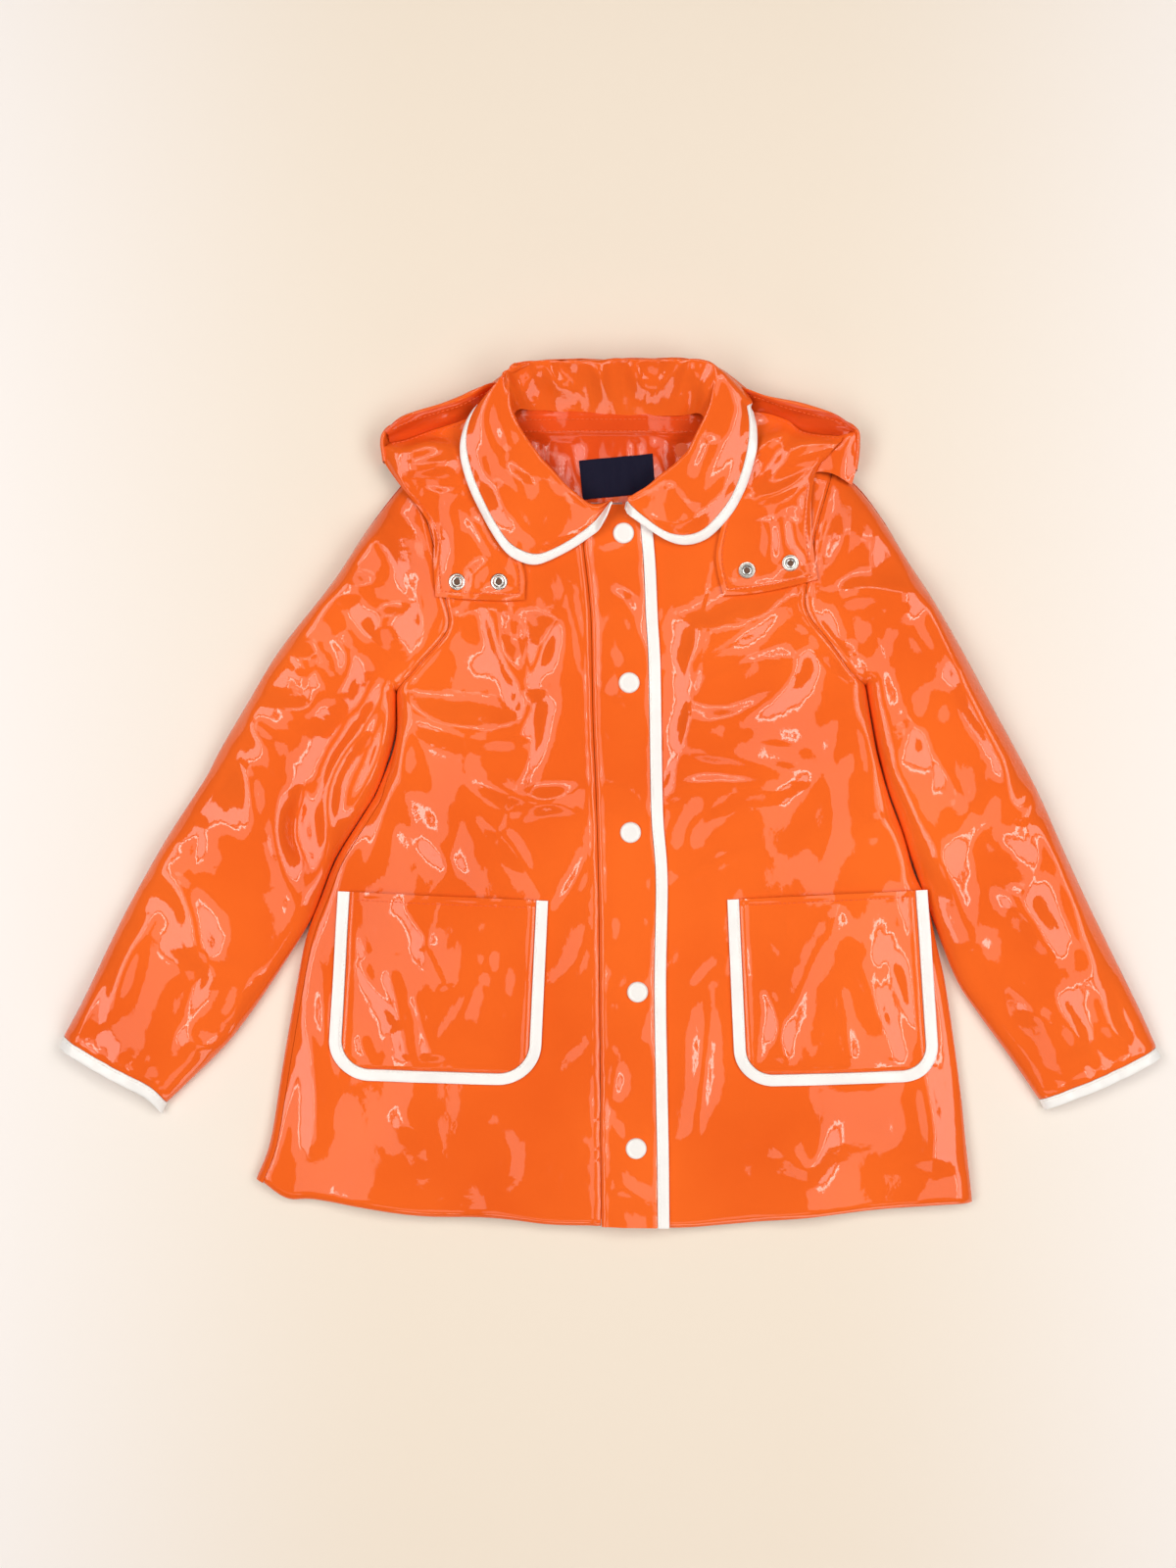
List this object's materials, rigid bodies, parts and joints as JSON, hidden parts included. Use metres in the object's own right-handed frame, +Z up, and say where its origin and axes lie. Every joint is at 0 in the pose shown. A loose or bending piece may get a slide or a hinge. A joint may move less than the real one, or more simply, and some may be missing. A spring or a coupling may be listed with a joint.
{
  "type": "raincoat",
  "caption": "Child's glossy vinyl raincoat laid flat, with a round collar, snap placket, patch pockets, white binding and a snapped-on hood.",
  "frame": {"origin": "on the surface that the coat lies on, below the middle of its overall width and length", "axes": "+Z up from the surface, out of the coat's front; +Y from the hem towards the collar; +X towards the wearer's left sleeve"},
  "size_m": [0.7918, 0.6211, 0.0373],
  "materials": {
    "orange_vinyl": "glossy coated cloth",
    "white_binding": "satin folded tape",
    "white_plastic": "glossy moulded cap",
    "steel": "plated snap",
    "navy_label": "woven, bare",
    "grey_label": "woven, bare"
  },
  "bodies": {
    "root": {"back": "orange_vinyl", "collar": "orange_vinyl", "collar_binding": "white_binding", "cuff_binding_left": "white_binding", "cuff_binding_right": "white_binding", "front_left": "orange_vinyl", "front_right": "orange_vinyl", "hood_band_left": "orange_vinyl", "hood_band_right": "orange_vinyl", "hood_centre": "orange_vinyl", "hood_crown": "orange_vinyl", "hood_hem_left": "orange_vinyl", "hood_side_left": "orange_vinyl", "hood_side_right": "orange_vinyl", "hood_snap_left_1": "steel", "hood_snap_left_2": "steel", "hood_snap_right_1": "steel", "hood_snap_right_2": "steel", "neck_label": "navy_label", "placket": "orange_vinyl", "placket_binding": "white_binding", "pocket_binding_left": "white_binding", "pocket_binding_right": "white_binding", "pocket_left": "orange_vinyl", "pocket_right": "orange_vinyl", "size_label": "grey_label", "sleeve_left": "orange_vinyl", "sleeve_right": "orange_vinyl", "snap_cap_1": "white_plastic", "snap_cap_2": "white_plastic", "snap_cap_3": "white_plastic", "snap_cap_4": "white_plastic", "snap_cap_5": "white_plastic"}
  },
  "joints": []
}
